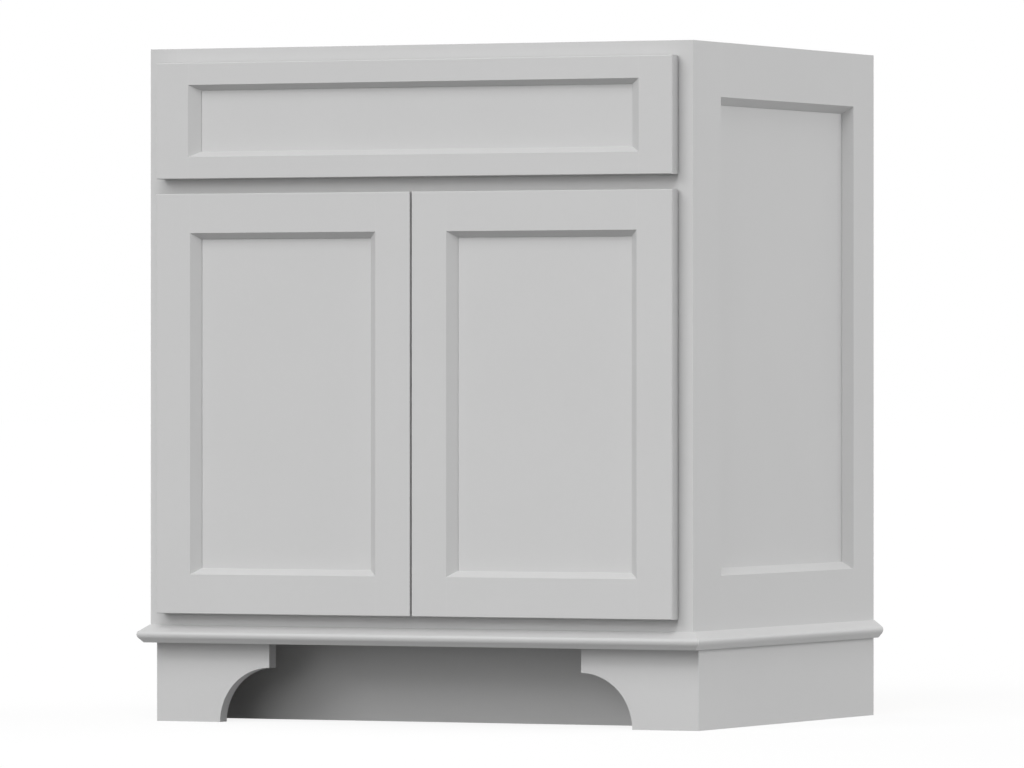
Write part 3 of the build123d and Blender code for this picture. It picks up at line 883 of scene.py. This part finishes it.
class Workshop:
    """Holds the frame, the shared effects and one material of each finish, and dresses nodes with them."""

    def __init__(self, frame: dict[str, Any]) -> None:
        """Get ready to dress a frame.
        """
        self.nodes: dict[str, bpy.types.Object] = frame["nodes"]
        self.joints: dict[str, dict[str, Any]] = {joint["name"]: joint for joint in frame["joints"]}
        self.effects = Effects()
        self.satin = SatinPaint()
        self.wood = BareWood()
        nickel = PlatedSteel("nickel_plate", (0.66, 0.64, 0.60), (0.50, 0.485, 0.46), 0.30)
        zinc = PlatedSteel("zinc_plate", (0.60, 0.61, 0.63), (0.43, 0.44, 0.46), 0.36)
        self.nickel = nickel.make(self.effects)
        self.zinc = zinc.make(self.effects)
        self.rubber = SoftPad().make(self.effects)
        self.kept: dict[tuple[Any, ...], bpy.types.Material] = {}

    def paint(self, grain: Grain, bare: Optional[Bare] = None) -> bpy.types.Material:
        """Paint for a board, made once for each way and bare side.

        Args:
            grain: Which way the board's grain runs.
            bare: The side that is left as wood, if any.

        Returns:
            The material.
        """
        key = ("paint", grain, bare)
        if key not in self.kept:
            self.kept[key] = self.satin.make(self.effects, grain, bare, self.wood)
        return self.kept[key]

    def plywood(self, grain: Grain, flat: Face) -> bpy.types.Material:
        """Plywood for a board, made once for each way and flat.

        Args:
            grain: Which way the face veneer runs.
            flat: The direction of its thickness.

        Returns:
            The material.
        """
        key = ("plywood", grain, flat)
        if key not in self.kept:
            self.kept[key] = self.wood.make_plywood(self.effects, grain, flat)
        return self.kept[key]

    def board(self, grain: Grain) -> bpy.types.Material:
        """Solid stock, made once for each way of the grain.

        Args:
            grain: Which way the grain runs.

        Returns:
            The material.
        """
        key = ("board", grain)
        if key not in self.kept:
            self.kept[key] = self.wood.make_board(self.effects, grain)
        return self.kept[key]

    def dress(self, name: str, material: bpy.types.Material) -> None:
        """Give a CAD node a material in all its slots.

        Args:
            name: The node.
            material: Its material.
        """
        for slot in self.nodes[name].material_slots:
            slot.material = material
        LOG.info("%s: %s", name, material.name)

    def solids(self, name: str) -> list[Corners]:
        """Find the separate solids of a CAD node.

        Args:
            name: The node.

        Returns:
            The lowest and highest corner of each solid, in order of place.
        """
        merged = bmesh.new()
        merged.from_mesh(self.nodes[name].data)
        bmesh.ops.remove_doubles(merged, verts=merged.verts, dist=MERGE_REACH)
        left = set(merged.verts)
        boxes = []
        while left:
            island = [left.pop()]
            for vert in island:
                joined = {edge.other_vert(vert) for edge in vert.link_edges} & left
                left -= joined
                island.extend(joined)
            low = tuple(min(vert.co[axis] for vert in island) for axis in range(3))
            high = tuple(max(vert.co[axis] for vert in island) for axis in range(3))
            boxes.append((low, high))
        merged.free()
        return [(Vector(low), Vector(high)) for low, high in sorted(boxes)]


@dataclass(frozen=True)
class FramedPanel:
    """A frame and panel: two uprights, two cross pieces and the panel between them."""

    prefix: str
    uprights: tuple[str, str]
    across: Grain = Grain.CROSSWISE
    inner: Optional[Face] = None
    overspray: float = 2.5 * MM
    rails: tuple[str, str] = ("top_rail", "bottom_rail")

    def dress(self, shop: Workshop) -> None:
        """Paint the five pieces, each along its own grain.

        Args:
            shop: The workshop.
        """
        bare = self.bare(shop) if self.inner else None
        for name in (*self.uprights, "panel"):
            shop.dress(f"{self.prefix}_{name}", shop.paint(Grain.UPRIGHT, bare))
        for name in self.rails:
            shop.dress(f"{self.prefix}_{name}", shop.paint(self.across, bare))

    def bare(self, shop: Workshop) -> Bare:
        """The inner side, where the paint stops just short of the uprights' inner faces.

        Args:
            shop: The workshop.

        Returns:
            The side that is left as wood.
        """
        corners = shop.solids(f"{self.prefix}_{self.uprights[0]}")[0]
        inner_face = max(corner.dot(Vector(self.inner.value)) for corner in corners)
        return Bare(self.inner, inner_face - self.overspray)


@dataclass(frozen=True)
class FaceFrame:
    """The frame on the front of the case, bare wood inside the cupboard."""

    stiles: tuple[str, ...] = ("left_stile", "right_stile")
    rails: tuple[str, ...] = ("top_rail", "middle_rail")

    def dress(self, shop: Workshop) -> None:
        """Paint the stiles and rails, the lowest rail all round.

        Args:
            shop: The workshop.
        """
        for name in self.stiles:
            shop.dress(f"face_frame_{name}", shop.paint(Grain.UPRIGHT, Bare(Face.BACK)))
        for name in self.rails:
            shop.dress(f"face_frame_{name}", shop.paint(Grain.CROSSWISE, Bare(Face.BACK)))
        shop.dress("face_frame_bottom_rail", shop.paint(Grain.CROSSWISE))


@dataclass(frozen=True)
class Inside:
    """The boards inside the case and behind it."""

    standing: tuple[str, ...] = ("upper_hanging_rail", "lower_hanging_rail", "base_rear_board")

    def dress(self, shop: Workshop) -> None:
        """Finish the plywood boards and the cleats, and paint the floor's underside.

        Args:
            shop: The workshop.
        """
        shop.dress("back_panel", shop.plywood(Grain.UPRIGHT, Face.BACK))
        for name in self.standing:
            shop.dress(name, shop.plywood(Grain.CROSSWISE, Face.BACK))
        shop.dress("corner_braces", shop.plywood(Grain.CROSSWISE, Face.TOP))
        shop.dress("cabinet_floor", shop.paint(Grain.CROSSWISE, Bare(Face.TOP)))
        shop.dress("false_front_cleats", shop.board(Grain.UPRIGHT))


@dataclass(frozen=True)
class Base:
    """Bracket feet, side boards, toe board, glue blocks and the moulding over them."""

    front: tuple[str, ...] = ("toe_board", "front_moulding")

    def dress(self, shop: Workshop) -> None:
        """Paint every piece along its length.

        Args:
            shop: The workshop.
        """
        shop.dress("base_corner_blocks", shop.paint(Grain.UPRIGHT))
        for side in Side:
            shop.dress(f"{side.word}_base_side", shop.paint(Grain.DEPTHWISE))
            shop.dress(f"{side.word}_bracket_foot", shop.paint(Grain.CROSSWISE))
            shop.dress(f"{side.word}_moulding", shop.paint(Grain.DEPTHWISE))
        for name in self.front:
            shop.dress(name, shop.paint(Grain.CROSSWISE))


@dataclass(frozen=True)
class Hardware:
    """Hinges, with their screws and rivets, the screws of the fixed front, and the pads."""

    head_height: float = 1.4 * MM
    shank_radius: float = 1.75 * MM
    rivet_radius: float = 1.9 * MM
    rivet_height: float = 0.45 * MM
    cheek_half: float = 7.0 * MM
    pad_rim: float = 0.7 * MM
    plated: tuple[str, ...] = ("hinge_cups", "outer_links", "inner_links")

    def dress(self, shop: Workshop) -> None:
        """Plate the hinge nodes, then make the screws, rivets and pads.

        Args:
            shop: The workshop.
        """
        shop.dress("hinge_arms", shop.nickel)
        for side in Side:
            for name in self.plated:
                shop.dress(f"{side.word}_{name}", shop.nickel)
        screws = ScrewTree()
        self.screws(shop, screws, "hinge_arm_screws", "arm_screw_set", "carcass", 0)
        self.screws(shop, screws, "false_front_screws", "fixed_front_screw_set", "carcass", 1)
        pads = PadTree()
        self.pads(shop, pads, "false_front_bumpers", "fixed_front_pads", "carcass")
        for side in Side:
            body = f"{side.word}_door"
            self.screws(shop, screws, f"{side.word}_cup_screws", f"{side.word}_cup_screw_set", body, 1)
            self.pads(shop, pads, f"{body}_bumpers", f"{body}_pads", body)
        self.rivets(shop)

    def keep(self, piece: bpy.types.Object, body: str, slot: str, *nodes: str) -> None:
        """Ride a new piece on its body, in place of any nodes that it stands for.

        Args:
            piece: The new piece.
            body: The body that it rides on.
            slot: Its material slot; not used.
            nodes: The nodes that it stands for.
        """
        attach(piece, body)
        if nodes:
            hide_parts(*nodes)
        LOG.info("%s: %d faces on %s", piece.name, len(piece.data.polygons), body)

    def screws(self, shop: Workshop, tree: ScrewTree, node: str, name: str, body: str, axis: int) -> None:
        """Make the screws of one node.

        Args:
            shop: The workshop.
            tree: The tree that makes screws.
            node: The node of plain screws that they stand for.
            name: The new piece's name.
            body: The body that they ride on.
            axis: Which way they are driven: 0 outwards through the ends, 1 towards the front.
        """
        seats = []
        for low, high in shop.solids(node):
            middle = (low + high) / 2
            aim = Vector((0.0, 0.0, 0.0))
            aim[axis] = 1.0 if axis == 1 or middle.x < 0 else -1.0
            seat = middle.copy()
            seat[axis] = (high if aim[axis] > 0 else low)[axis] - aim[axis] * self.head_height
            seats.append(Seat(seat, aim))
            across = (high - low)[2]
            length = (high - low)[axis] - self.head_height
        sizes = {
            "Head Radius": across / 2,
            "Head Height": self.head_height,
            "Shank Radius": self.shank_radius,
            "Shank Length": length,
        }
        self.keep(tree.run(name, seats, sizes, shop.zinc), body, "screw_steel", node)

    def pads(self, shop: Workshop, tree: PadTree, node: str, name: str, body: str) -> None:
        """Make the pads of one node, stuck to the front's back.

        Args:
            shop: The workshop.
            tree: The tree that makes pads.
            node: The node of plain pads that they stand for.
            name: The new piece's name.
            body: The body that they ride on.
        """
        seats = []
        for low, high in shop.solids(node):
            middle = (low + high) / 2
            seats.append(Seat(Vector((middle.x, low.y, middle.z)), Vector(Face.BACK.value)))
            size = high - low
        sizes = {"Radius": size.x / 2, "Thickness": size.y, "Rim": self.pad_rim}
        self.keep(tree.run(name, seats, sizes, shop.rubber), body, "bumper_rubber", node)

    def rivets(self, shop: Workshop) -> None:
        """Head the pivots of the hinge arms with rivets.

        Args:
            shop: The workshop.
        """
        seats = []
        for low, high in shop.solids("hinge_arms"):
            side = Side.LEFT if low.x < 0 else Side.RIGHT
            level = (low.z + high.z) / 2
            for link in ("outer_link", "inner_link"):
                x, y, _ = shop.joints[f"{side.word}_{link}_pivot"]["pos_m"]
                for up in (-1, 1):
                    seats.append(Seat(Vector((x, y, level + up * self.cheek_half)), Vector((0, 0, up))))
        sizes = {"Radius": self.rivet_radius, "Height": self.rivet_height}
        self.keep(RivetTree().run("hinge_arm_rivets", seats, sizes, shop.nickel), "carcass", "hinge_steel")


@dataclass(frozen=True)
class Lamp:
    """A broad soft lamp, far off: where it shines from, how strong and how wide it is."""

    name: str
    azimuth: float
    elevation: float
    strength: float
    width: float

    def build(self) -> bpy.types.Object:
        """Hang the lamp.

        Returns:
            The lamp's object.
        """
        data = bpy.data.lights.new(self.name, "SUN")
        data.energy = self.strength
        data.angle = math.radians(self.width)
        lamp = bpy.data.objects.new(self.name, data)
        turn = math.radians(self.azimuth)
        lift = math.radians(self.elevation)
        source = Vector((math.sin(turn) * math.cos(lift), -math.cos(turn) * math.cos(lift), math.sin(lift)))
        lamp.rotation_mode = "QUATERNION"
        lamp.rotation_quaternion = (-source).to_track_quat("-Z", "Y")
        bpy.context.scene.collection.objects.link(lamp)
        return lamp


@dataclass(frozen=True)
class Studio:
    """A white room: pale floor, soft sky and broad lamps."""

    floor_half: float = 60.0
    floor_tone: float = 0.98
    floor_bounce: float = 0.25
    shadow_share: float = 0.14
    sky: float = 0.30
    lamps: tuple[Lamp, ...] = (
        Lamp("key_lamp", 20.0, 48.0, 1.25, 30.0),
        Lamp("left_lamp", -25.0, 30.0, 1.0, 30.0),
        Lamp("low_lamp", 0.0, 12.0, 0.48, 30.0),
        Lamp("right_lamp", 100.0, 20.0, 0.54, 40.0),
        Lamp("right_rear_lamp", 130.0, 18.0, 0.94, 40.0),
        Lamp("left_rear_lamp", -120.0, 20.0, 0.90, 40.0),
    )

    def build(self) -> None:
        """Lay the floor, light the sky and hang the lamps."""
        bpy.context.scene.view_settings.view_transform = "Standard"
        self.lay_floor()
        self.light_sky()
        for lamp in self.lamps:
            lamp.build()

    @staticmethod
    def seen(wiring: Wiring) -> bpy.types.NodeSocket:
        """A socket that is 1 for what the camera sees, directly or in metal and glass.

        Args:
            wiring: The node tree to add to.

        Returns:
            The socket.
        """
        path = wiring.add("ShaderNodeLightPath").outputs
        shine = wiring.maths("MAXIMUM", path["Is Glossy Ray"], path["Is Transmission Ray"])
        return wiring.maths("MAXIMUM", path["Is Camera Ray"], shine)

    def lay_floor(self) -> None:
        """Lay a floor that shows almost white and keeps a faint shadow."""
        half = self.floor_half
        mesh = bpy.data.meshes.new("studio_floor")
        corners = [(-half, -half, 0), (half, -half, 0), (half, half, 0), (-half, half, 0)]
        mesh.from_pydata(corners, [], [(0, 1, 2, 3)])
        floor = bpy.data.objects.new("studio_floor", mesh)
        bpy.context.scene.collection.objects.link(floor)
        material = bpy.data.materials.new("studio_floor")
        material.use_nodes = True
        wiring = Wiring(material.node_tree)
        seen = self.seen(wiring)
        tone = wiring.lerp(seen, self.floor_bounce, self.floor_tone)
        paper = wiring.add("ShaderNodeBsdfDiffuse", {"Color": wiring.combine(tone, tone, tone)}).outputs[0]
        glow = wiring.add("ShaderNodeEmission", {"Color": (1.0, 1.0, 1.0, 1.0), "Strength": 1.0}).outputs[0]
        share = wiring.maths("MULTIPLY", seen, 1.0 - self.shadow_share)
        surface = wiring.add("ShaderNodeMixShader", {0: share, 1: paper, 2: glow}).outputs[0]
        wiring.add("ShaderNodeOutputMaterial", {"Surface": surface})
        mesh.materials.append(material)

    def light_sky(self) -> None:
        """Light the room evenly from all round, and show it white."""
        world = bpy.data.worlds.new("studio_sky")
        world.use_nodes = True
        bpy.context.scene.world = world
        wiring = Wiring(world.node_tree)
        strength = wiring.lerp(self.seen(wiring), self.sky, 1.0)
        light = wiring.add("ShaderNodeBackground", {"Color": (1.0, 1.0, 1.0, 1.0), "Strength": strength})
        wiring.add("ShaderNodeOutputWorld", {"Surface": light.outputs[0]})


@dataclass(frozen=True)
class ViewCamera:
    """A long lens at half the unit's height, from the front right."""

    place: tuple[float, float, float] = (4.7797, -10.2141, 0.44572)
    yaw: float = 25.0776
    pitch: float = -0.0619
    lens: float = 305.86
    sensor: float = 36.0
    far: float = 200.0

    def build(self) -> bpy.types.Object:
        """Set the camera up and make it the scene's own.

        Returns:
            The camera's object.
        """
        data = bpy.data.cameras.new("view_camera")
        data.lens = self.lens
        data.sensor_width = self.sensor
        data.clip_end = self.far
        camera = bpy.data.objects.new("view_camera", data)
        camera.location = self.place
        camera.rotation_euler = (math.radians(90.0 + self.pitch), 0.0, math.radians(self.yaw))
        bpy.context.scene.collection.objects.link(camera)
        bpy.context.scene.camera = camera
        return camera


def main() -> None:
    """Load the frame, dress every sub-assembly, and set up the studio and the camera."""
    logging.basicConfig(level=logging.INFO, format="%(name)s: %(message)s")
    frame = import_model()
    shop = Workshop(frame)
    assemblies = [
        FaceFrame(),
        FramedPanel("false_front", ("left_stile", "right_stile")),
        FramedPanel("left_door", ("hinge_stile", "meeting_stile")),
        FramedPanel("right_door", ("hinge_stile", "meeting_stile")),
        FramedPanel("left_end", ("front_stile", "rear_stile"), Grain.DEPTHWISE, Side.LEFT.value),
        FramedPanel("right_end", ("front_stile", "rear_stile"), Grain.DEPTHWISE, Side.RIGHT.value),
        Inside(),
        Base(),
        Hardware(),
    ]
    for assembly in assemblies:
        assembly.dress(shop)
    Studio().build()
    ViewCamera().build()


if __name__ == "__main__":
    main()
